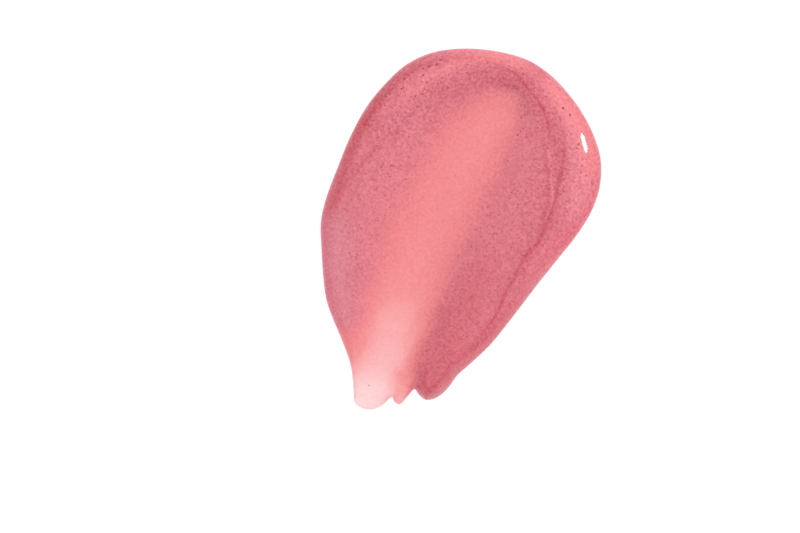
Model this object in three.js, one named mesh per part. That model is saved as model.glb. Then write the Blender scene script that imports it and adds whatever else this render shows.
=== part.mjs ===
// A smear of lip gloss: a teardrop of pearly gel, laid on a flat surface and drawn out by one stroke of an
// applicator. It is one body of liquid. The applicator pressed a shallow bed down its middle, pushed the gel
// up into banks along the bed's right side and round its head, and lifted off at the tail, where the film is
// thinnest and ends in three lobes. +Z is up from the surface it lies on, +Y runs along the stroke from the
// tail to the head, and the origin is on the underside at the middle of the length and the width. Lengths are
// in millimetres.
import * as THREE from "three";

// Driving dimensions.
const POOL_DEPTH = 0.85; // gel that the applicator didn't touch
const TAIL_DEPTH = 0.05; // film left where the applicator lifted off
const LOBE_DEPTH = 0.17; // gel beside that film, in the tail's pale lobes
const BANK_RISE = 0.34; // how far the highest bank stands above the pool
const RIM_ROUNDNESS = 2.2; // 1 is a plain bevel, more is a rounder shoulder
const BED_SQUARENESS = 2.6; // 2 is a bell-shaped hollow, more has a flatter floor and steeper sides

// The edge of the smear, clockwise from the head as seen from above. A point's third number is how far in
// from the edge a full-depth pool levels off: least where the gel stands steep, at the left and the lower
// right, and most where it slumped outwards, at the head's right shoulder and the lower left. The tail's three
// lobes are close together.
const EDGE = [
  [0.3, 12.55, 1.6], [2.1, 12.25, 1.9], [3.6, 11.65, 2.1], [5.0, 10.85, 2.2], [6.2, 9.9, 2.3],
  [7.25, 8.7, 2.4], [7.95, 7.1, 2.4], [8.15, 5.4, 2.3], [7.95, 3.6, 2.0], [7.45, 1.5, 1.6],
  [6.9, -0.8, 1.3], [6.4, -3.1, 1.1], [5.85, -5.3, 1.1], [5.2, -6.95, 1.1], [4.75, -8.0, 1.1],
  [4.55, -9.0, 1.1], [4.2, -9.8, 1.1], [3.6, -10.3, 1.1], [3.0, -10.2, 1.1], [2.6, -10.0, 1.1],
  [2.4, -10.6, 1.1], [2.15, -11.3, 1.1], [1.75, -11.3, 1.1], [1.5, -11.1, 1.1], [1.1, -11.9, 1.1],
  [0.5, -12.45, 1.1], [-0.1, -12.55, 1.1], [-0.6, -12.4, 1.1], [-0.95, -11.8, 1.1], [-1.4, -11.0, 1.1],
  [-2.0, -10.15, 1.2], [-3.1, -9.05, 1.5], [-4.3, -7.95, 2.1], [-5.1, -7.1, 2.6], [-5.9, -5.85, 2.8],
  [-6.8, -4.2, 2.7], [-7.5, -2.8, 2.3], [-7.85, -1.4, 1.7], [-8.05, 1.0, 1.2], [-8.15, 3.4, 1.0],
  [-8.0, 5.4, 1.0], [-7.55, 7.2, 1.1], [-6.9, 8.8, 1.2], [-5.8, 10.2, 1.3], [-4.1, 11.35, 1.4],
  [-1.9, 12.2, 1.5],
];

// The pressed bed at places along the stroke, from the tail to the head. Each row gives the place's y, then
// the bed's middle, its reach to the gentle left and to the steep right, the film left in it, and the share of
// the pool's gel that was pressed out.
const BED = [
  [-12.55, 0.1, 1.8, 2.0, TAIL_DEPTH, 1],
  [-11.0, 0.1, 2.0, 2.0, 0.075, 1],
  [-9.0, 0.1, 2.7, 2.05, 0.12, 1],
  [-6.0, -0.2, 3.2, 2.2, 0.18, 1],
  [-2.0, -0.6, 3.2, 2.45, 0.3, 1],
  [3.0, -0.6, 3.2, 2.45, 0.33, 1],
  [6.0, -0.4, 2.9, 2.25, 0.33, 1],
  [8.5, -0.1, 2.1, 1.75, 0.34, 1],
  [9.7, 0, 1.55, 1.2, 0.36, 0.8],
  [10.9, 0, 1.2, 1.0, 0.36, 0],
];

// The banks of pushed-up gel: how wide each is, and the way its crest runs. A crest's third number is the
// share of BANK_RISE that it stands at there.
const BANKS = [
  {
    width: 1.1,
    crest: [
      [1.3, 10.1, 0.1], [2.5, 8.2, 0.45], [3.0, 5.5, 0.3], [2.9, 2.0, 0.3],
      [2.9, -1.5, 0.65], [3.0, -5.0, 1.0], [3.2, -8.0, 1.0], [3.4, -9.7, 0.9],
    ],
  },
  {
    width: 0.55,
    crest: [
      [-6.3, 2.5, 0], [-5.5, 5.8, 0.25], [-3.7, 8.6, 0.6], [-1.7, 10.5, 0.85],
      [0, 11.1, 0.95], [1.7, 10.3, 0.7], [3.0, 9.0, 0.1],
    ],
  },
  {
    width: 0.5,
    crest: [
      [1.5, 10.7, 0], [3.4, 9.4, 0.45], [4.8, 8.0, 0.55], [5.6, 6.0, 0.55],
      [5.9, 3.5, 0.5], [5.7, 0.5, 0.35], [5.35, -2.5, 0.1],
    ],
  },
];

// Where the pool thins out into the tail's pale lobes.
const LOBES = { thickAboveY: -8.4, thinBelowY: -10.8, thinLeftOfX: 2.1, thickRightOfX: 3.1 };

// The mesh: rings of vertices from the middle out, closer together towards the edge.
const COLUMNS_PER_EDGE_POINT = 3;
const STEPS_PER_POINT = 8; // of the smooth lines that distances are taken to
const RINGS = 20;
const RING_CROWDING = 1.7;
const MIDDLE = new THREE.Vector2(-0.3, -1.4); // every point of the edge is in plain sight of this one

const { clamp, lerp, smoothstep } = THREE.MathUtils;

// Points along a smooth curve through the given ones. Their z carries the points' third number, not a height.
function smoothLine(points, steps, closed = false) {
  const knots = points.map(([x, y, carried]) => new THREE.Vector3(x, y, carried));
  return new THREE.CatmullRomCurve3(knots, closed).getPoints(steps);
}

const columns = EDGE.length * COLUMNS_PER_EDGE_POINT;
const rim = smoothLine(EDGE, columns, true);
const shore = smoothLine(EDGE, EDGE.length * STEPS_PER_POINT, true);
const banks = BANKS.map(({ width, crest }) => {
  return { width, line: smoothLine(crest, crest.length * STEPS_PER_POINT) };
});
const bed = new THREE.CubicInterpolant(
  BED.map((row) => row[0]),
  BED.flatMap((row) => row.slice(1)),
  BED[0].length - 1,
);

// How far p lies from a line as seen from above, and the number that the line carries at its nearest point.
function nearest(line, p) {
  const found = { distance: Infinity, carried: 0 };
  for (let i = 0; i + 1 < line.length; i++) {
    const [a, b] = [line[i], line[i + 1]];
    const [dx, dy] = [b.x - a.x, b.y - a.y];
    const t = clamp(((p.x - a.x) * dx + (p.y - a.y) * dy) / (dx * dx + dy * dy), 0, 1);
    const distance = Math.hypot(p.x - a.x - t * dx, p.y - a.y - t * dy);
    if (distance < found.distance)
      Object.assign(found, { distance, carried: lerp(a.z, b.z, t) });
  }
  return found;
}

// Depth of the gel at p, before the edge rounds it off.
function gelDepth(p) {
  let pool = POOL_DEPTH;
  for (const { line, width } of banks) {
    const { distance, carried } = nearest(line, p);
    pool += BANK_RISE * carried * Math.exp(-((distance / width) ** 2));
  }
  const lengthwise = 1 - smoothstep(p.y, LOBES.thinBelowY, LOBES.thickAboveY);
  const crosswise = 1 - smoothstep(p.x, LOBES.thinLeftOfX, LOBES.thickRightOfX);
  pool = lerp(pool, LOBE_DEPTH, lengthwise * crosswise);

  const [middle, left, right, film, pressed] = bed.evaluate(p.y);
  const across = p.x - middle;
  const reach = across < 0 ? left : right;
  const hollow = Math.exp(-((Math.abs(across) / reach) ** BED_SQUARENESS)) * clamp(pressed, 0, 1);
  return lerp(pool, Math.min(pool, film), hollow);
}

// Height of the top surface at p. A shallow film rounds off over a shorter way than a deep pool.
function topHeight(p) {
  const depth = gelDepth(p);
  const { distance, carried: fullWidth } = nearest(shore, p);
  const width = fullWidth * Math.sqrt(Math.min(1, depth / POOL_DEPTH));
  return depth * (1 - (1 - Math.min(1, distance / width)) ** RIM_ROUNDNESS);
}

// A disc turned on the lathe gives the closed surface: its rings run from the middle of the top to the rim,
// and the underside closes it. Each vertex is then moved out to the smear's own edge and up to its own
// height.
function gelGeometry() {
  const outwardAt = (ring) => 1 - (1 - ring / RINGS) ** RING_CROWDING;
  const topRings = Array.from({ length: RINGS - 1 }, (_, i) => [outwardAt(i + 1), 1]);
  const profile = [[0, 1], ...topRings, [1, 0], [0, 0]];
  const disc = new THREE.LatheGeometry(profile.map(([r, z]) => new THREE.Vector2(r, z)), columns);
  const place = disc.getAttribute("position");
  for (let i = 0; i < place.count; i++) {
    const column = Math.floor(i / profile.length) % columns;
    const [outward, isTop] = profile[i % profile.length];
    const p = MIDDLE.clone().lerp(rim[column], outward);
    place.setXYZ(i, p.x, p.y, isTop ? topHeight(p) : 0);
  }
  disc.deleteAttribute("normal");
  disc.deleteAttribute("uv");
  return disc;
}

const gel = new THREE.Mesh(
  gelGeometry(),
  new THREE.MeshStandardMaterial({ color: 0xdd7788, roughness: 0.12, metalness: 0 }),
);
gel.name = "gloss_gel";

const smear = new THREE.Group();
smear.add(gel);

export default smear;
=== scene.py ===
# The looks of a smear of pearly pink lip gloss, built round its CAD solid.
#
# The CAD's gel is one coarse solid. Here its own vertices are read back as a grid of rings round a hub,
# drawn through with splines at a far finer pitch, and given the relief that the stroke of an applicator
# leaves. The air bubbles and the pearl are pieces of their own. Positions are in metres, and MM turns
# millimetres into them.
import math

import bpy
import numpy as np
from mathutils import Matrix, Quaternion, Vector
from mathutils.kdtree import KDTree


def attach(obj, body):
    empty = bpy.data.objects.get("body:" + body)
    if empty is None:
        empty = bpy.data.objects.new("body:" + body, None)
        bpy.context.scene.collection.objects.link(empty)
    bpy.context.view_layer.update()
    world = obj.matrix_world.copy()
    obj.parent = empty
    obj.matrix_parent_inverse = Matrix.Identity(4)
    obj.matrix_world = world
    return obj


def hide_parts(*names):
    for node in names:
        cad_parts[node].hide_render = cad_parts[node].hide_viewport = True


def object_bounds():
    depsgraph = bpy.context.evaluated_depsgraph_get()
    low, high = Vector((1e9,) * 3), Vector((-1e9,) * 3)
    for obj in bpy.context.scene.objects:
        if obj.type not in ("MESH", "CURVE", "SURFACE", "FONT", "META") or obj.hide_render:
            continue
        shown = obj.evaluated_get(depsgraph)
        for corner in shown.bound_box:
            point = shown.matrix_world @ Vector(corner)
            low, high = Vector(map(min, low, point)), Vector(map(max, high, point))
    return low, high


MM = 0.001
GEL = "gloss_gel"
BODY = "root"
UP = Vector((0, 0, 1))
HAIR = 1e-6  # two places closer than this, in metres, are the same
CURVE_STEPS = 12  # steps of a smooth curve for each of its points
EDGE_STEPS = 4  # and of the gel's edge, whose points are already close together

# The fine mesh of the gel: how many columns run out from the hub for each of the CAD's, how many rings go
# round it, how strongly the rings crowd towards the edge, and how often the heights are evened out each way.
COLUMNS_PER_CAD_COLUMN = 4
RINGS = 165
RING_CROWDING = 1.35
PASSES_ROUND = 50
PASSES_OUTWARD = 8

# How the gel rounds off where its edge is steep, in millimetres, and the limits within which filled_depth
# undoes that: the least share of its height that a rim point is taken to have, the shallowest gel as a share
# of the pool's, and how often the sum is repeated.
POOL_DEPTH = 0.85
RIM_WIDTH = 1.3
RIM_ROUNDNESS = 2.2
LEAST_PROFILE = 0.1
SHALLOWEST = 0.05
FILL_ROUNDS = 4

# How far in from the edge, in millimetres, the colour fades in and the streaks' relief does.
FADE_WIDTH = 0.1
RELIEF_FADE = (0.1, 0.6)

# Streaks that the stroke left in the gel, in millimetres as seen from above: where each runs, how wide it
# is, how far it rises from the surface (a crease is below it, so its rise is negative), how much deeper the
# gel looks along it, partly from real depth of gel and partly as painted shade (painted light where it is
# negative), and the share of the pearl's mauve sheen, which is a painted sheen. What a streak leaves out is
# 0.
# It fades in and out over STREAK_TAPER of its length at each end.
STREAK_TAPER = 0.2
STREAKS = [
    # The next three entries, the creases, look darker than their small relief makes them: partly the fold's
    # extra gel, partly painted shade.
    {  # the crease outside the right bank
        "path": [
            (3.0, 10.3), (3.9, 9.7), (4.6, 8.6), (5.0, 7.5), (5.3, 6.3), (5.6, 5.1), (5.7, 4.2), (5.8, 3.2),
            (5.8, 2.0), (5.45, 1.0), (5.35, 0.1), (5.35, -0.8), (5.25, -1.8), (5.3, -3.2), (5.1, -4.6),
            (4.8, -5.8), (4.5, -6.8),
        ],
        "width": 0.13,
        "rise": -0.025,
        "depth_and_shade": 0.68,
        "mauve_sheen": 0.05,
    },
    {  # the crease round the bed's head, from over the top to the inside of the right bank
        "path": [
            (-3.3, 9.6), (-2.6, 10.2), (-1.6, 10.8), (-0.4, 11.3), (1.1, 10.7), (1.9, 10.3), (2.7, 9.7),
            (3.4, 8.8), (3.8, 7.5), (4.5, 6.2), (5.2, 4.8), (5.4, 3.6), (5.5, 2.6), (5.7, 2.0),
        ],
        "width": 0.12,
        "rise": -0.018,
        "depth_and_shade": 0.46,
        "mauve_sheen": 0.04,
    },
    {  # and its faint start at the left of the bed's head
        "path": [(-5.8, 4.2), (-5.3, 5.6), (-4.8, 7.2), (-3.9, 8.8), (-2.8, 10.1), (-1.8, 10.7)],
        "width": 0.25,
        "rise": -0.01,
        "depth_and_shade": 0.12,
    },
    {  # the ridge between those two, lighter with painted light where it catches the light
        "path": [(2.8, 9.4), (3.6, 8.1), (4.2, 7.2), (5.0, 5.8), (5.45, 4.95), (5.55, 4.2), (5.65, 3.3)],
        "width": 0.11,
        "rise": 0.018,
        "depth_and_shade": -0.45,
    },
    {  # the band between that crease and the edge, lighter with a painted sheen
        "path": [(-6.6, 5.4), (-5.6, 7.8), (-4.1, 9.7), (-2.6, 11.1), (-0.6, 11.9), (1.4, 11.6)],
        "width": 0.95,
        "depth_and_shade": -0.28,
        "mauve_sheen": 0.04,
    },
    {  # the head's right shoulder, where the gel slumped outwards; it is lightened by a painted sheen of the light from the right
        "path": [(0.6, 12.1), (2.4, 11.3), (4.4, 10.0), (5.6, 8.6), (6.2, 7.2), (6.6, 5.4), (6.5, 3.6)],
        "width": 0.85,
        "depth_and_shade": -0.19,
        "mauve_sheen": 0.07,
    },
    {  # painted shade along that shoulder's edge, which holds back the light that the key throws on the rim
        "path": [
            (-2.6, 12.0), (-0.6, 12.5), (0.8, 12.5), (2.8, 12.0), (5.0, 10.8), (6.8, 9.2), (7.7, 7.6),
            (8.0, 5.6), (7.9, 3.8), (7.4, 1.6), (6.8, -0.8),
        ],
        "width": 0.42,
        "depth_and_shade": 0.3,
    },
    {  # the lower end of that shoulder
        "path": [(6.9, 8.2), (7.2, 7.0), (7.3, 5.8), (7.2, 4.6), (6.9, 3.2)],
        "width": 0.6,
        "depth_and_shade": 0.14,
        "mauve_sheen": 0.06,
    },
    {  # the lighter flank between the outer crease and that rim
        "path": [(6.7, 3.6), (6.4, 2.0), (6.2, 0.4), (5.95, -1.4), (5.7, -3.2)],
        "width": 0.45,
        "depth_and_shade": -0.12,
        "mauve_sheen": 0.02,
    },
    {  # painted shade along the rim at the lower right, which faces away from the light
        "path": [(7.2, 0.6), (6.6, -1.6), (6.1, -3.6), (5.6, -5.5), (5.0, -7.1), (4.5, -8.6), (4.1, -9.7)],
        "width": 0.35,
        "depth_and_shade": 0.19,
    },
    {  # the pool at the right, between the bed and the creases
        "path": [(1.8, 9.6), (2.7, 7.8), (3.3, 5.6), (3.2, 3.2), (3.1, 1.0), (3.0, -1.2)],
        "width": 0.9,
        "depth_and_shade": -0.12,
        "mauve_sheen": 0.02,
    },
    {  # the pool at the left, where the applicator drew some of the gel away
        "path": [(-5.0, 8.4), (-5.2, 5.0), (-5.0, 1.0), (-4.9, -3.0), (-4.5, -5.0)],
        "width": 1.3,
        "depth_and_shade": -0.1,
        "mauve_sheen": 0.03,
    },
    {  # its slope down to the bed
        "path": [(-3.2, -1.4), (-3.2, -2.8), (-3.2, -4.2), (-3.0, -5.8)],
        "width": 0.7,
        "depth_and_shade": 0.08,
        "mauve_sheen": 0.02,
    },
    {  # the flank at the lower left, darker and mauve with a painted sheen of the soft light from the left
        "path": [(-7.4, -0.6), (-6.9, -2.6), (-5.9, -4.5), (-4.9, -6.2), (-3.9, -7.6), (-2.8, -8.9)],
        "width": 1.5,
        "depth_and_shade": 0.32,
        "mauve_sheen": 0.13,
    },
    # This crease too is darker partly from the fold's extra gel and partly as painted shade.
    {  # the faint crease that goes on along the left
        "path": [(-5.2, 5.4), (-5.7, 4.0), (-6.4, 2.8), (-6.8, 1.4), (-7.1, 0.2), (-7.2, -1.2), (-7.0, -2.6)],
        "width": 0.22,
        "rise": -0.015,
        "depth_and_shade": 0.28,
    },
    {  # painted shade just inside the steep left edge, which faces away from the light
        "path": [
            (-4.6, 10.7), (-5.6, 10.0), (-6.7, 8.6), (-7.3, 7.1), (-7.7, 5.3), (-7.9, 3.4), (-7.8, 1.0),
            (-7.6, -1.3), (-7.3, -2.7), (-6.6, -4.1), (-5.7, -5.7), (-4.9, -6.9), (-4.0, -7.9), (-3.0, -8.9),
        ],
        "width": 0.4,
        "depth_and_shade": 0.42,
    },
    {  # the bed's middle, where the film is a little thicker
        "path": [(-0.6, 5.6), (-0.6, 3.0), (-0.5, 0.0), (-0.3, -3.0), (-0.1, -6.0)],
        "width": 2.0,
        "depth_and_shade": 0.04,
    },
    {  # the tail's short middle lobe
        "path": [(1.9, -11.4), (1.9, -11.0), (1.9, -10.6), (1.9, -10.2)],
        "width": 0.4,
        "depth_and_shade": 0.05,
    },
    {  # the streak of deeper film that runs down to it
        "path": [(1.75, -11.1), (1.55, -10.4), (1.25, -9.7), (1.0, -9.1), (0.8, -8.4)],
        "width": 0.32,
        "depth_and_shade": 0.03,
    },
    {  # the full tip of the right lobe
        "path": [(2.5, -7.6), (2.7, -8.8), (2.9, -9.6), (3.3, -10.0), (3.8, -10.0)],
        "width": 0.4,
        "depth_and_shade": 0.2,
    },
    {  # the middle lobe's thin outer edge
        "path": [(2.6, -9.8), (2.4, -10.3), (2.35, -10.8), (2.1, -11.3)],
        "width": 0.28,
        "depth_and_shade": -0.09,
    },
    {  # where the applicator's right side wiped the bed clean
        "path": [(1.2, -9.6), (1.3, -8.4), (1.3, -7.0), (1.2, -5.4)],
        "width": 0.5,
        "depth_and_shade": -0.09,
    },
    {  # and its left side
        "path": [(-1.4, -10.2), (-1.5, -8.6), (-1.6, -7.2), (-1.8, -5.4)],
        "width": 0.6,
        "depth_and_shade": -0.05,
    },
]

# The colour of the gel on white, from its depth in millimetres, up to FULL_DEPTH, to the display levels it
# comes to. SHEEN is the white light that its wet surface adds, and FLAT_LIGHT is what a flat white surface
# sends back on this stage. MAUVE_SHEEN_COLOUR is the colour of the pearl's sheen, which is painted into the
# colour as a painted sheen, and RIM_SHADE_MAUVE its share at the very edge, which fades over
# RIM_SHADE_MAUVE_WIDTH millimetres;
# there it is painted shade, a mauve-grey contour for the contact shadow and the light bent at the edge.
DEPTH_COLOURS = [
    (0.0, (255, 236, 235)),
    (0.05, (254, 220, 219)),
    (0.11, (253, 186, 188)),
    (0.17, (251, 166, 167)),
    (0.25, (246, 148, 150)),
    (0.33, (244, 142, 145)),
    (0.42, (241, 135, 140)),
    (0.52, (236, 130, 136)),
    (0.65, (226, 122, 132)),
    (0.8, (219, 118, 130)),
    (1.0, (215, 110, 122)),
    (1.2, (210, 104, 115)),
    (1.45, (204, 82, 96)),
]
FULL_DEPTH = 1.5
SHEEN = 0.04
MAUVE_SHEEN_COLOUR = (255, 196, 220)
RIM_SHADE_MAUVE = 0.15
RIM_SHADE_MAUVE_WIDTH = 0.25
FLAT_LIGHT = 1.02

# The pearl in the gel. Cloudy patches change how deep it looks, as a share of its depth. The grain changes
# its brightness in small specks, least where the film is thin and most in a deep pool, and each speck
# reflects at a slant of its own. The lighter specks, lifted towards white by GRAIN_SPARKLE_WHITENESS, are
# partly the pearl's own tone and partly painted sparkle of light off the flakes. The grain is stronger still,
# by the share
# CHURNED, in the gel that was pushed round the head: where it is beyond CHURNED_REACH from the stroke, which
# ends at a y of HEAD_END, and beyond CHURNED_Y up the smear, all in millimetres.
CLOUD_SIZE = 0.9 * MM
CLOUD_STRENGTH = 0.3
GRAIN_SIZE = 0.19 * MM
GRAIN_THIN = 0.11
GRAIN_DEEP = 0.3
GRAIN_SPARKLE_WHITENESS = 0.4
THIN_FILM = 0.1
DEEP_POOL = 0.8
CHURNED = 0.6
HEAD_END = 6
CHURNED_REACH = (2.5, 5)
CHURNED_Y = (-2, 6)
SPECK_SIZE = 0.11 * MM
SPECK_SLANT = 0.35
NOISE_DETAIL = 2.0

# Air bubbles under the surface, in millimetres: each one's place as seen from above and its radius, and then
# the strings of tiny ones that the stroke drew out.
BUBBLES = [
    (-5.4, 9.4, 0.16), (-5.0, 9.7, 0.12), (-4.9, 10.1, 0.13), (-5.7, 9.1, 0.11), (-6.5, 8.0, 0.13),
    (-6.9, 7.4, 0.16), (-6.4, 7.3, 0.09), (-7.2, 6.6, 0.16), (-7.5, 4.7, 0.14), (-7.4, 4.3, 0.1),
    (-4.4, 8.6, 0.08), (-5.5, 8.7, 0.09), (-4.8, 8.0, 0.08), (3.6, 10.6, 0.12), (4.2, 10.4, 0.12),
    (5.5, 8.9, 0.1), (7.4, 7.0, 0.13), (6.4, 7.3, 0.09), (5.9, 5.7, 0.09), (-0.2, -11.0, 0.05),
]
BUBBLE_STRINGS = [
    {"path": [(-4.6, 8.2), (-3.0, 9.9), (-1.4, 10.9), (0.0, 11.3), (1.4, 10.9)], "count": 26},
    {"path": [(-7.3, 7.2), (-6.2, 9.2), (-4.6, 10.7), (-3.0, 11.4)], "count": 14},
    {"path": [(5.0, 9.4), (6.2, 8.0), (6.7, 6.5)], "count": 12},
    {"path": [(-5.6, 4.8), (-6.6, 3.0), (-7.0, 1.0)], "count": 12},
]
STRING_SPREAD = 0.25
TINY_BUBBLE = (0.03, 0.06)
BUBBLE_UNDERSIDE = 0.5  # how far a bubble reaches below its middle, as a share of its radius
BUBBLE_SINK = 0.6  # how deep its middle lies under the surface, likewise
BUBBLE_ROOM = 1.3  # the depth of gel that it needs, likewise
# The beads' dark red is painted shade: clear air in the gel looks dark where it bends the light away.
BUBBLE_SHADES = [(0, (166, 68, 80)), (1, (194, 88, 100))]
BUBBLE_SEED = 5

# Platelets of mica that lie in the surface, in millimetres. FLAKE_REACH is from the middle to a corner, and
# FLAKE_TILT how far a platelet strays from lying flat, as a slope.
FLAKE_COUNT = 1300
FLAKE_REACH = (0.035, 0.07)
FLAKE_THICKNESS = 0.006
FLAKE_TILT = 0.1
FLAKE_DEPTHS = (0.55, 1.0)  # no flakes show in a thinner film, and all of them in deeper gel
FLAKE_SEED = 11
FLAKE_SHADES = [
    (0, (194, 94, 108)),
    (0.5, (208, 108, 120)),
    (0.85, (224, 128, 138)),
    (1, (234, 144, 152)),
]

# The stage. The camera looks straight down, turned about the vertical.
TURN = math.radians(25)
VIEW_WIDTH = 52 * MM
VIEW_OFFSET = Vector((-1.635, -3.149, 0)) * MM  # the view's middle from the gel's
LENS = 100
SENSOR = 36
IMAGE_RIGHT = Vector((math.cos(TURN), math.sin(TURN), 0))
IMAGE_UP = Vector((-math.sin(TURN), math.cos(TURN), 0))
FLOOR_REACH = 0.6
FLOOR_DROP = 0.01 * MM
FLOOR_WHITE = (0.9, 0.9, 0.9, 1)
FLOOR_GLOW = 0.25

# A white tent that is brightest overhead and dims above the horizon: its share of TENT_RADIANCE by height,
# from the horizon at 0 to straight above at 1. In it are soft lights: where each is, its radiance and how
# narrow it is. The key is a small bright oval whose reflection is the one hard highlight. It is seen at
# KEY_SPOT, on the head's shoulder, and KEY_TILT turns the oval about the line to there.
TENT_LEVELS = [(0.0, 0.85), (0.1, 0.85), (0.28, 0.4), (0.55, 0.5), (0.85, 1.0)]
TENT_RADIANCE = 1.14
SOFT_LIGHTS = [
    (IMAGE_RIGHT + 0.5 * IMAGE_UP + 0.7 * UP, 0.3, 3.0),
    (-IMAGE_RIGHT - 0.45 * IMAGE_UP + 1.3 * UP, 0.5, 8.0),
]
KEY_SPOT = (5.76 * MM, 9.4 * MM)
KEY_DISTANCE = 0.3
KEY_WIDTH = 0.031
KEY_HEIGHT = 0.065
KEY_TILT = Quaternion(UP, math.radians(30))
KEY_RADIANCE = 26

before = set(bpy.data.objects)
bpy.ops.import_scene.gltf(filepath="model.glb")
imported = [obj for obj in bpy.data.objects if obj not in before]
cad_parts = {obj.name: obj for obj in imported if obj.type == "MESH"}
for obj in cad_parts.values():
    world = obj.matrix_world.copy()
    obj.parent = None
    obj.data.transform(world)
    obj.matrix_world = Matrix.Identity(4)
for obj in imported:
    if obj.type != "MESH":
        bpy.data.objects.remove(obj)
cad_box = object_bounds()


# ---- Curves ----

def smooth_step(value, start, end):
    """0 before start, 1 after end, and smooth between them."""
    share = np.clip((value - start) / (end - start), 0, 1)
    return share * share * (3 - 2 * share)


def catmull_rom(before, here, after, later, t):
    """The point a share t of the way from here to after, on the smooth curve through the four points."""
    bend = 2 * before - 5 * here + 4 * after - later
    twist = 3 * here - before - 3 * after + later
    return 0.5 * (2 * here + (after - before) * t + bend * t**2 + twist * t**3)


def closed_curve(rows, per_step):
    """A closed smooth curve through the rows, with per_step rows for each one given."""
    around = [np.roll(rows, shift, axis=0) for shift in (1, 0, -1, -2)]
    steps = [catmull_rom(*around, k / per_step) for k in range(per_step)]
    return np.stack(steps, axis=1).reshape(len(rows) * per_step, -1)


def open_curve(points):
    """A smooth curve through the points, with CURVE_STEPS points for each one given."""
    rows = np.array(points, float)
    rows = np.vstack([2 * rows[0] - rows[1], rows, 2 * rows[-1] - rows[-2]])
    along = (rows[:-3], rows[1:-2], rows[2:-1], rows[3:])
    steps = [catmull_rom(*along, k / CURVE_STEPS) for k in range(CURVE_STEPS)]
    return np.vstack([np.stack(steps, axis=1).reshape(-1, rows.shape[1]), rows[-2]])


def nearest(points, places):
    """How far each place lies from the nearest point as seen from above, and which point that is."""
    tree = KDTree(len(points))
    for i, (x, y) in enumerate(points):
        tree.insert((x, y, 0), i)
    tree.balance()
    found = [tree.find((x, y, 0)) for x, y in places]
    return np.array([f[2] for f in found]), np.array([f[1] for f in found])


# ---- The gel's surface, from the CAD's vertices ----

def bearing(vectors):
    """The direction of each vector in plan, as an angle."""
    return np.arctan2(vectors[:, 1], vectors[:, 0])


def cad_grid():
    """The gel's hub, its rim points in order round the hub, and the CAD's rings: their shares and heights.

    The CAD laid its vertices on straight lines from the hub to the rim, at the same shares of every line.
    """
    points = np.unique(np.round([v.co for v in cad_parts[GEL].data.vertices], 8), axis=0)
    on_floor = points[:, 2] < HAIR
    base = points[on_floor, :2]
    hub = base[np.argmin(np.linalg.norm(base - base.mean(axis=0), axis=1))]
    rim = base[np.linalg.norm(base - hub, axis=1) > HAIR]
    rim = rim[np.argsort(bearing(rim - hub))]
    reach = np.linalg.norm(rim - hub, axis=1)

    top = points[~on_floor]
    out = np.linalg.norm(top[:, :2] - hub, axis=1)
    crown = top[np.argmin(out), 2]
    top = top[out > HAIR]
    out = out[out > HAIR]
    turn = bearing(top[:, :2] - hub)[:, None] - bearing(rim - hub)[None, :]
    column = np.argmin(np.abs((turn + np.pi) % (2 * np.pi) - np.pi), axis=1)
    order = np.lexsort((out, column))
    share = (out / reach[column])[order].reshape(len(rim), -1)
    height = top[order, 2].reshape(len(rim), -1)

    shares = np.concatenate([[0], share.mean(axis=0), [1]])
    heights = np.pad(height, ((0, 0), (1, 1)))
    heights[:, 0] = crown
    return hub, rim, shares, heights


def fine_surface():
    """Plan positions and heights of the gel's top on the fine grid, indexed by column and then by ring."""
    hub, rim, shares, heights = cad_grid()
    edge = closed_curve(rim, COLUMNS_PER_CAD_COLUMN)
    heights = closed_curve(heights, COLUMNS_PER_CAD_COLUMN)
    slopes = np.gradient(heights, shares, axis=1)
    # At the hub every column leaves along one tangent plane, fitted to the first ring.
    spokes = (edge - hub) * shares[1]
    tilt = np.linalg.lstsq(spokes, heights[:, 1] - heights[:, 0], rcond=None)[0]
    slopes[:, 0] = (edge - hub) @ tilt

    fine = 1 - (1 - np.linspace(0, 1, RINGS + 1)) ** RING_CROWDING
    left = np.clip(np.searchsorted(shares, fine, side="right") - 1, 0, len(shares) - 2)
    gap = shares[left + 1] - shares[left]
    t = (fine - shares[left]) / gap
    # Between two of the CAD's rings the height is a cubic with the heights and the slopes at both.
    z = (
        heights[:, left] * (2 * t**3 - 3 * t**2 + 1)
        + slopes[:, left] * gap * (t**3 - 2 * t**2 + t)
        + heights[:, left + 1] * (3 * t**2 - 2 * t**3)
        + slopes[:, left + 1] * gap * (t**3 - t**2)
    )
    plan = hub + (edge - hub)[:, None, :] * fine[None, :, None]
    return edge, plan, z


def evened(heights):
    """The heights smoothed round the rings and outward along the columns, with the rim left on the floor."""
    for _ in range(PASSES_ROUND):
        heights = (np.roll(heights, 1, axis=0) + 2 * heights + np.roll(heights, -1, axis=0)) / 4
    for _ in range(PASSES_OUTWARD):
        heights[:, 1:-1] = (heights[:, :-2] + 2 * heights[:, 1:-1] + heights[:, 2:]) / 4
    return heights


def filled_depth(height, inward):
    """The gel's depth in millimetres with its rounded rim filled out to the edge.

    Light is turned back inside a steep rim, so the rim looks as deep as the gel behind it, and only where the
    rim slumped outwards does it look thinner.
    """
    depth = height
    for _ in range(FILL_ROUNDS):
        width = RIM_WIDTH * np.sqrt(np.clip(depth / POOL_DEPTH, SHALLOWEST, 1))
        profile = 1 - (1 - np.clip(inward / width, 0, 1)) ** RIM_ROUNDNESS
        depth = height / np.maximum(profile, LEAST_PROFILE)
    return depth


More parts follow.
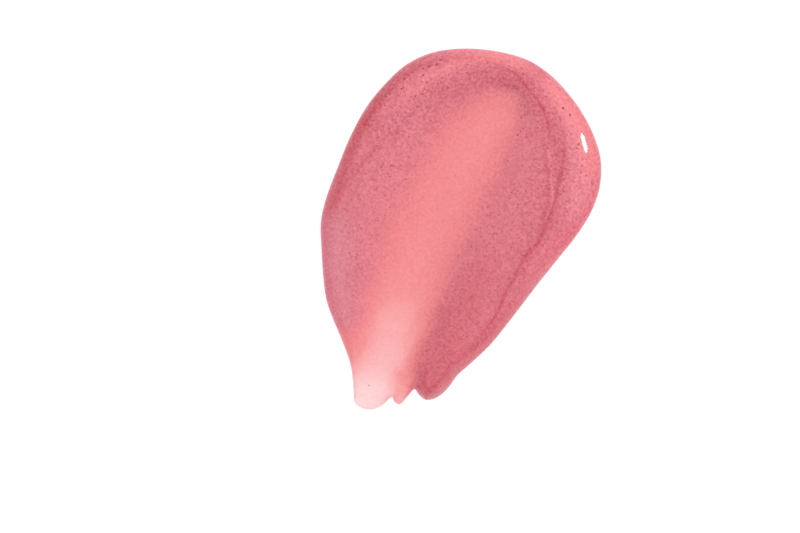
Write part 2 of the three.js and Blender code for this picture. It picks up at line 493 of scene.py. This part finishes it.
def streaked(places):
    """The streaks' rise, added depth and painted shade or light, and painted mauve sheen at each place."""
    rise = np.zeros(len(places))
    depth_and_shade = np.zeros(len(places))
    mauve_sheen = np.zeros(len(places))
    for streak in STREAKS:
        curve = open_curve(streak["path"])
        away, which = nearest(curve, places)
        along = which / (len(curve) - 1)
        strength = smooth_step(along, 0, STREAK_TAPER) * smooth_step(along, 1, 1 - STREAK_TAPER)
        strength *= np.exp(-((away / streak["width"]) ** 2))
        rise += streak.get("rise", 0) * strength
        depth_and_shade += streak["depth_and_shade"] * strength
        mauve_sheen += streak.get("mauve_sheen", 0) * strength
    return rise, depth_and_shade, mauve_sheen


def grain_strength(places, depth):
    """How strongly the pearl's grain shows at each place."""
    off_stroke = np.hypot(places[:, 0], np.maximum(places[:, 1] - HEAD_END, 0))
    churned = smooth_step(off_stroke, *CHURNED_REACH) * smooth_step(places[:, 1], *CHURNED_Y)
    deep = smooth_step(depth, THIN_FILM, DEEP_POOL)
    return (GRAIN_THIN + (GRAIN_DEEP - GRAIN_THIN) * deep) * (1 + CHURNED * churned)


def set_on_grid(mesh, name, values, underneath):
    """An attribute of the mesh, from its values by column and ring and its value under the hub."""
    values = np.concatenate([values[0, :1], values[:, 1:].ravel(), [underneath]])
    mesh.attributes.new(name, "FLOAT", "POINT").data.foreach_set("value", values.astype(np.float32))


def grid_mesh(name, plan, z):
    """A closed mesh of the top, given by column and ring, and a flat underside, with a sharp edge between."""
    columns, rings = z.shape
    top = np.dstack([plan, z])
    under_hub = np.append(plan[0, 0], 0)
    vertices = np.vstack([top[0, 0], top[:, 1:].reshape(-1, 3), under_hub])

    def at(column, ring):
        """The number of the vertex at a column and a ring, where the hub is 0."""
        return 1 + (column % columns) * (rings - 1) + ring - 1

    here = np.arange(columns)
    fans = np.stack([np.zeros_like(here), at(here, 1), at(here + 1, 1)], axis=1)
    grid = [
        np.stack([at(here, ring), at(here, ring + 1), at(here + 1, ring + 1), at(here + 1, ring)], axis=1)
        for ring in range(1, rings - 1)
    ]
    under_middle = np.full(columns, len(vertices) - 1)
    under = np.stack([under_middle, at(here + 1, rings - 1), at(here, rings - 1)], axis=1)
    faces = fans.tolist() + np.vstack(grid).tolist() + under.tolist()

    mesh = bpy.data.meshes.new(name)
    mesh.from_pydata(vertices.tolist(), [], faces)
    mesh.shade_smooth()
    ends = np.zeros(len(mesh.edges) * 2, int)
    mesh.edges.foreach_get("vertices", ends)
    on_rim = np.all(np.isin(ends.reshape(-1, 2), at(here, rings - 1)), axis=1)
    mesh.attributes.new("sharp_edge", "BOOLEAN", "EDGE").data.foreach_set("value", on_rim)
    return mesh


def add_gel():
    """The fine body of gel, with what its colour comes from as attributes of its vertices."""
    edge, plan, z = fine_surface()
    z = evened(z)
    places = plan.reshape(-1, 2) / MM
    inward, _ = nearest(closed_curve(edge / MM, EDGE_STEPS), places)
    rise, depth_and_shade, mauve_sheen = streaked(places)
    rise *= smooth_step(inward, *RELIEF_FADE)
    # Painted shade at the very edge: a mauve-grey contour standing for the contact shadow and the light bent
    # there.
    mauve_sheen += RIM_SHADE_MAUVE * (1 - smooth_step(inward, 0, RIM_SHADE_MAUVE_WIDTH))
    depth = filled_depth(z.ravel() / MM, inward) + depth_and_shade
    depth = np.maximum(depth, 0) * smooth_step(inward, 0, FADE_WIDTH)

    mesh = grid_mesh("gel_surface", plan, z + (rise * MM).reshape(z.shape))
    set_on_grid(mesh, "gel_depth", depth.reshape(z.shape), POOL_DEPTH)
    set_on_grid(mesh, "gel_mauve", mauve_sheen.reshape(z.shape), 0)
    set_on_grid(mesh, "gel_grain", grain_strength(places, depth).reshape(z.shape), GRAIN_THIN)
    gel = bpy.data.objects.new("gel_surface", mesh)
    bpy.context.scene.collection.objects.link(gel)
    return gel


# ---- Bubbles and pearl flakes ----

def surface_at(gel, x, y):
    """The place and the upward direction of the gel's top at a place in plan, or None if it has no gel."""
    hit, place, normal, _ = gel.ray_cast(Vector((x, y, 1)), -UP)
    return (place, normal) if hit and place.z > 0 else None


def prism(sides):
    """The vertices and faces of a flat prism, one across and one thick."""
    turns = [2 * math.pi * k / sides for k in range(sides)]
    points = [(math.cos(turn), math.sin(turn), z) for z in (-0.5, 0.5) for turn in turns]
    walls = [(k, (k + 1) % sides, sides + (k + 1) % sides, sides + k) for k in range(sides)]
    return points, [tuple(reversed(range(sides))), tuple(range(sides, 2 * sides)), *walls]


def bead(sides=12, levels=7):
    """The vertices and faces of a round bead of radius one, flattened towards its underside."""
    points = [(0, 0, -BUBBLE_UNDERSIDE)]
    for level in range(1, levels):
        angle = math.pi * (level / levels - 0.5)
        height = math.sin(angle) * (1 if angle > 0 else BUBBLE_UNDERSIDE)
        for k in range(sides):
            turn = 2 * math.pi * k / sides
            points.append((math.cos(angle) * math.cos(turn), math.cos(angle) * math.sin(turn), height))
    points.append((0, 0, 1))
    faces = []
    for k in range(sides):
        after = (k + 1) % sides
        faces.append((0, 1 + after, 1 + k))
        for level in range(levels - 2):
            low = 1 + level * sides
            faces.append((low + k, low + after, low + sides + after, low + sides + k))
        last = 1 + (levels - 2) * sides
        faces.append((last + k, last + after, len(points) - 1))
    return points, faces


def add_copies(name, solid, placings):
    """One piece made of a copy of the small solid at each placing matrix."""
    points, faces = solid
    all_points = []
    all_faces = []
    for placing in placings:
        first = len(all_points)
        all_points += [placing @ Vector(point) for point in points]
        all_faces += [[first + corner for corner in face] for face in faces]
    mesh = bpy.data.meshes.new(name)
    mesh.from_pydata(all_points, [], all_faces)
    piece = bpy.data.objects.new(name, mesh)
    bpy.context.scene.collection.objects.link(piece)
    return piece


def add_bubbles(gel):
    """Beads of air just under the gel's surface, which they lift a little."""
    random = np.random.default_rng(BUBBLE_SEED)
    spots = list(BUBBLES)
    for string in BUBBLE_STRINGS:
        curve = open_curve(string["path"])
        for index in random.integers(0, len(curve), string["count"]):
            x, y = curve[index] + random.normal(0, STRING_SPREAD, 2)
            spots.append((x, y, random.uniform(*TINY_BUBBLE)))
    placings = []
    for x, y, radius in spots:
        found = surface_at(gel, x * MM, y * MM)
        if found and found[0].z > radius * BUBBLE_ROOM * MM:
            place, normal = found
            turn = normal.to_track_quat("Z", "Y")
            centre = place - normal * radius * BUBBLE_SINK * MM
            placings.append(Matrix.LocRotScale(centre, turn, [radius * MM] * 3))
    bubbles = add_copies("air_bubbles", bead(), placings)
    bubbles.data.shade_smooth()
    return bubbles


def add_flakes(gel):
    """Platelets of mica that lie in the surface, each with a slant and a size of its own."""
    random = np.random.default_rng(FLAKE_SEED)
    low, high = cad_box
    placings = []
    while len(placings) < FLAKE_COUNT:
        x = random.uniform(low.x, high.x)
        y = random.uniform(low.y, high.y)
        tilt = Vector(random.normal(0, FLAKE_TILT, 3))
        spin = random.uniform(0, math.pi)
        reach = random.uniform(*FLAKE_REACH)
        least_depth = random.uniform(*FLAKE_DEPTHS) * MM
        found = surface_at(gel, x, y)
        if not found or found[0].z < least_depth:
            continue
        place, normal = found
        turn = (normal + tilt).to_track_quat("Z", "Y") @ Quaternion(UP, spin)
        placings.append(Matrix.LocRotScale(place, turn, Vector((reach, reach, FLAKE_THICKNESS)) * MM))
    return add_copies("pearl_flakes", prism(6), placings)


# ---- Materials ----

def link(tree, source, target):
    """A link from an output to an input in a node tree."""
    tree.links.new(source, target)


def new_node(tree, kind, **settings):
    """A new node in a tree, with the named inputs or settings of its own set."""
    node = tree.nodes.new(kind)
    for name, value in settings.items():
        if name in node.inputs:
            node.inputs[name].default_value = value
        else:
            setattr(node, name, value)
    return node


def noise(tree, place, size):
    """A noise field whose features are about size across, in metres."""
    node = new_node(tree, "ShaderNodeTexNoise", Scale=1 / size, Detail=NOISE_DETAIL)
    link(tree, place, node.inputs["Vector"])
    return node.outputs["Fac"]


def math_node(tree, operation, first, second):
    """The result of a Math node on two inputs, each a socket or a number."""
    node = new_node(tree, "ShaderNodeMath", operation=operation)
    for socket, value in zip(node.inputs, (first, second)):
        if isinstance(value, (int, float)):
            socket.default_value = value
        else:
            link(tree, value, socket)
    return node.outputs[0]


def linear(level):
    """A display level from 0 to 255 as scene light, by the sRGB curve."""
    share = level / 255
    return share / 12.92 if share <= 0.04045 else ((share + 0.055) / 1.055) ** 2.4


def base_colour(levels):
    """The colour a surface needs for its flat parts to come to these display levels on this stage."""
    return [max((linear(level) - SHEEN) / FLAT_LIGHT, 0) for level in levels] + [1]


def colour_ramp(tree, value, stops):
    """A colour ramp on a value, through stops of a position from 0 to 1 and a colour."""
    ramp = new_node(tree, "ShaderNodeValToRGB")
    elements = ramp.color_ramp.elements
    while len(elements) < len(stops):
        elements.new(0.5)
    for element, (position, colour) in zip(elements, stops):
        element.position = position
        element.color = colour
    link(tree, value, ramp.inputs[0])
    return ramp.outputs["Color"]


def new_material(name, **settings):
    """A material with the named inputs of its shader set."""
    material = bpy.data.materials.new(name)
    material.use_nodes = True
    shader = material.node_tree.nodes["Principled BSDF"]
    for socket, value in settings.items():
        shader.inputs[socket.replace("_", " ")].default_value = value
    return material


def seen_depth(tree, place):
    """The gel's depth in millimetres, made cloudy where the gel was folded."""
    depth = new_node(tree, "ShaderNodeAttribute", attribute_name="gel_depth").outputs["Fac"]
    clouds = math_node(tree, "MULTIPLY_ADD", noise(tree, place, CLOUD_SIZE), CLOUD_STRENGTH)
    clouds.node.inputs[2].default_value = 1 - CLOUD_STRENGTH / 2
    return math_node(tree, "MULTIPLY", depth, clouds)


def mauve_sheen_over(tree, colour):
    """The colour under the painted mauve sheen of the pearl and the painted shade at the edge."""
    mix = new_node(tree, "ShaderNodeMix", data_type="RGBA")
    share = new_node(tree, "ShaderNodeAttribute", attribute_name="gel_mauve").outputs["Fac"]
    link(tree, share, mix.inputs[0])
    link(tree, colour, mix.inputs["A"])
    mix.inputs["B"].default_value = base_colour(MAUVE_SHEEN_COLOUR)
    return mix.outputs["Result"]


def grained(tree, place, colour):
    """The colour lightened and darkened by the same number of display levels in red, green and blue."""
    strength = new_node(tree, "ShaderNodeAttribute", attribute_name="gel_grain").outputs["Fac"]
    centred = math_node(tree, "SUBTRACT", noise(tree, place, GRAIN_SIZE), 0.5)
    swing = math_node(tree, "MULTIPLY", centred, strength)
    lifted = new_node(tree, "ShaderNodeVectorMath", operation="ADD")
    # Painted sparkle: the lighter specks are lifted towards white.
    lifted.inputs[1].default_value = [GRAIN_SPARKLE_WHITENESS] * 3
    link(tree, colour, lifted.inputs[0])
    swung = new_node(tree, "ShaderNodeVectorMath", operation="MULTIPLY_ADD")
    link(tree, lifted.outputs[0], swung.inputs[0])
    link(tree, swing, swung.inputs[1])
    link(tree, colour, swung.inputs[2])
    return swung.outputs[0]


def slanted(tree, place):
    """The surface's direction, with every speck of pearl slanted its own way."""
    specks = new_node(tree, "ShaderNodeTexVoronoi", Scale=1 / SPECK_SIZE)
    link(tree, place, specks.inputs["Vector"])
    slant = new_node(tree, "ShaderNodeVectorMath", operation="MULTIPLY_ADD")
    link(tree, specks.outputs["Color"], slant.inputs[0])
    slant.inputs[1].default_value = [SPECK_SLANT] * 3
    slant.inputs[2].default_value = [-SPECK_SLANT / 2] * 3
    tilted = new_node(tree, "ShaderNodeVectorMath", operation="ADD")
    link(tree, new_node(tree, "ShaderNodeNewGeometry").outputs["Normal"], tilted.inputs[0])
    link(tree, slant.outputs[0], tilted.inputs[1])
    unit = new_node(tree, "ShaderNodeVectorMath", operation="NORMALIZE")
    link(tree, tilted.outputs[0], unit.inputs[0])
    return unit.outputs[0]


def gel_material():
    """Pearly gel: its colour comes from its depth, under a smooth wet surface."""
    material = new_material(
        "pearly_gel",
        Roughness=0.4,
        Specular_IOR_Level=0.15,
        Coat_Weight=1.0,
        Coat_Roughness=0.03,
        Coat_IOR=1.47,
    )
    tree = material.node_tree
    shader = tree.nodes["Principled BSDF"]
    place = new_node(tree, "ShaderNodeTexCoord").outputs["Object"]
    stops = [(at / FULL_DEPTH, base_colour(levels)) for at, levels in DEPTH_COLOURS]
    share = math_node(tree, "DIVIDE", seen_depth(tree, place), FULL_DEPTH)
    colour = colour_ramp(tree, share, stops)
    link(tree, grained(tree, place, mauve_sheen_over(tree, colour)), shader.inputs["Base Color"])
    link(tree, slanted(tree, place), shader.inputs["Normal"])
    return material


def shade_each(material, shades):
    """The material with a shade of its own on each of the small solids that a piece is made of."""
    tree = material.node_tree
    each = new_node(tree, "ShaderNodeNewGeometry").outputs["Random Per Island"]
    stops = [(position, base_colour(levels)) for position, levels in shades]
    link(tree, colour_ramp(tree, each, stops), tree.nodes["Principled BSDF"].inputs["Base Color"])
    return material


def bubble_material():
    """Air seen through the gel, as a dark bead of painted shade under a wet surface."""
    wet = new_material("bubble_shadow", Roughness=0.25, Coat_Weight=1.0, Coat_Roughness=0.05)
    return shade_each(wet, BUBBLE_SHADES)


def flake_material():
    """Mica, from the gel's deepest pink to a silvery one."""
    mica = new_material("pearl_mica", Roughness=0.6, Specular_IOR_Level=0.1)
    return shade_each(mica, FLAKE_SHADES)


# ---- The stage: camera, floor and light ----

def add_camera():
    """The camera straight above the gel, at the height where the picture is VIEW_WIDTH wide on the floor."""
    low, high = cad_box
    middle = (low + high) / 2
    middle.z = 0
    data = bpy.data.cameras.new("camera")
    data.lens = LENS
    data.sensor_width = SENSOR
    data.clip_start = MM
    camera = bpy.data.objects.new("camera", data)
    camera.location = middle + VIEW_OFFSET + Vector((0, 0, VIEW_WIDTH * LENS / SENSOR))
    camera.rotation_euler = (0, 0, TURN)
    bpy.context.scene.collection.objects.link(camera)
    bpy.context.scene.camera = camera


def add_key(spot, normal):
    """The key light, set where its reflection is seen at a spot of the gel from straight above."""
    direction = (2 * normal.dot(UP) * normal - UP).normalized()
    data = bpy.data.lights.new("key", "AREA")
    data.shape = "ELLIPSE"
    data.size = KEY_WIDTH
    data.size_y = KEY_HEIGHT
    area = math.pi / 4 * KEY_WIDTH * KEY_HEIGHT
    data.energy = KEY_RADIANCE * math.pi * area
    key = bpy.data.objects.new("key", data)
    key.location = spot + direction * KEY_DISTANCE
    key.rotation_euler = ((-direction).to_track_quat("-Z", "Y") @ KEY_TILT).to_euler()
    bpy.context.scene.collection.objects.link(key)


def add_floor():
    """A plain white floor just below the gel, lit a little from within so that it stays white to its ends."""
    corners = [(-1, -1), (1, -1), (1, 1), (-1, 1)]
    mesh = bpy.data.meshes.new("floor")
    places = [(x * FLOOR_REACH, y * FLOOR_REACH, -FLOOR_DROP) for x, y in corners]
    mesh.from_pydata(places, [], [(0, 1, 2, 3)])
    floor = bpy.data.objects.new("floor", mesh)
    bpy.context.scene.collection.objects.link(floor)
    material = new_material(
        "white_floor",
        Base_Color=FLOOR_WHITE,
        Roughness=0.8,
        Specular_IOR_Level=0.0,
        Emission_Color=(1, 1, 1, 1),
        Emission_Strength=FLOOR_GLOW,
    )
    mesh.materials.append(material)


def add_world():
    """A white tent all round, brighter towards two soft lights whose edges can't be seen in the gel."""
    world = bpy.data.worlds.new("studio")
    world.use_nodes = True
    tree = world.node_tree
    direction = new_node(tree, "ShaderNodeTexCoord").outputs["Generated"]
    height = new_node(tree, "ShaderNodeSeparateXYZ")
    link(tree, direction, height.inputs[0])
    greys = [(position, (level, level, level, 1)) for position, level in TENT_LEVELS]
    strength = math_node(tree, "MULTIPLY", colour_ramp(tree, height.outputs["Z"], greys), TENT_RADIANCE)
    for towards, radiance, focus in SOFT_LIGHTS:
        along = new_node(tree, "ShaderNodeVectorMath", operation="DOT_PRODUCT")
        along.inputs[1].default_value = towards.normalized()
        link(tree, direction, along.inputs[0])
        facing = math_node(tree, "MAXIMUM", along.outputs["Value"], 0.0)
        glow = math_node(tree, "POWER", facing, focus)
        strength = math_node(tree, "ADD", math_node(tree, "MULTIPLY", glow, radiance), strength)
    link(tree, strength, tree.nodes["Background"].inputs["Strength"])
    tree.nodes["Background"].inputs["Color"].default_value = (1, 1, 1, 1)
    bpy.context.scene.world = world


bpy.context.scene.view_settings.view_transform = "Standard"
add_camera()
add_world()
add_floor()

gel = add_gel()
bubbles = add_bubbles(gel)
flakes = add_flakes(gel)
gel.data.materials.append(gel_material())
bubbles.data.materials.append(bubble_material())
flakes.data.materials.append(flake_material())
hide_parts(GEL)
for piece in (gel, bubbles, flakes):
    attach(piece, BODY)

add_key(*surface_at(gel, *KEY_SPOT))
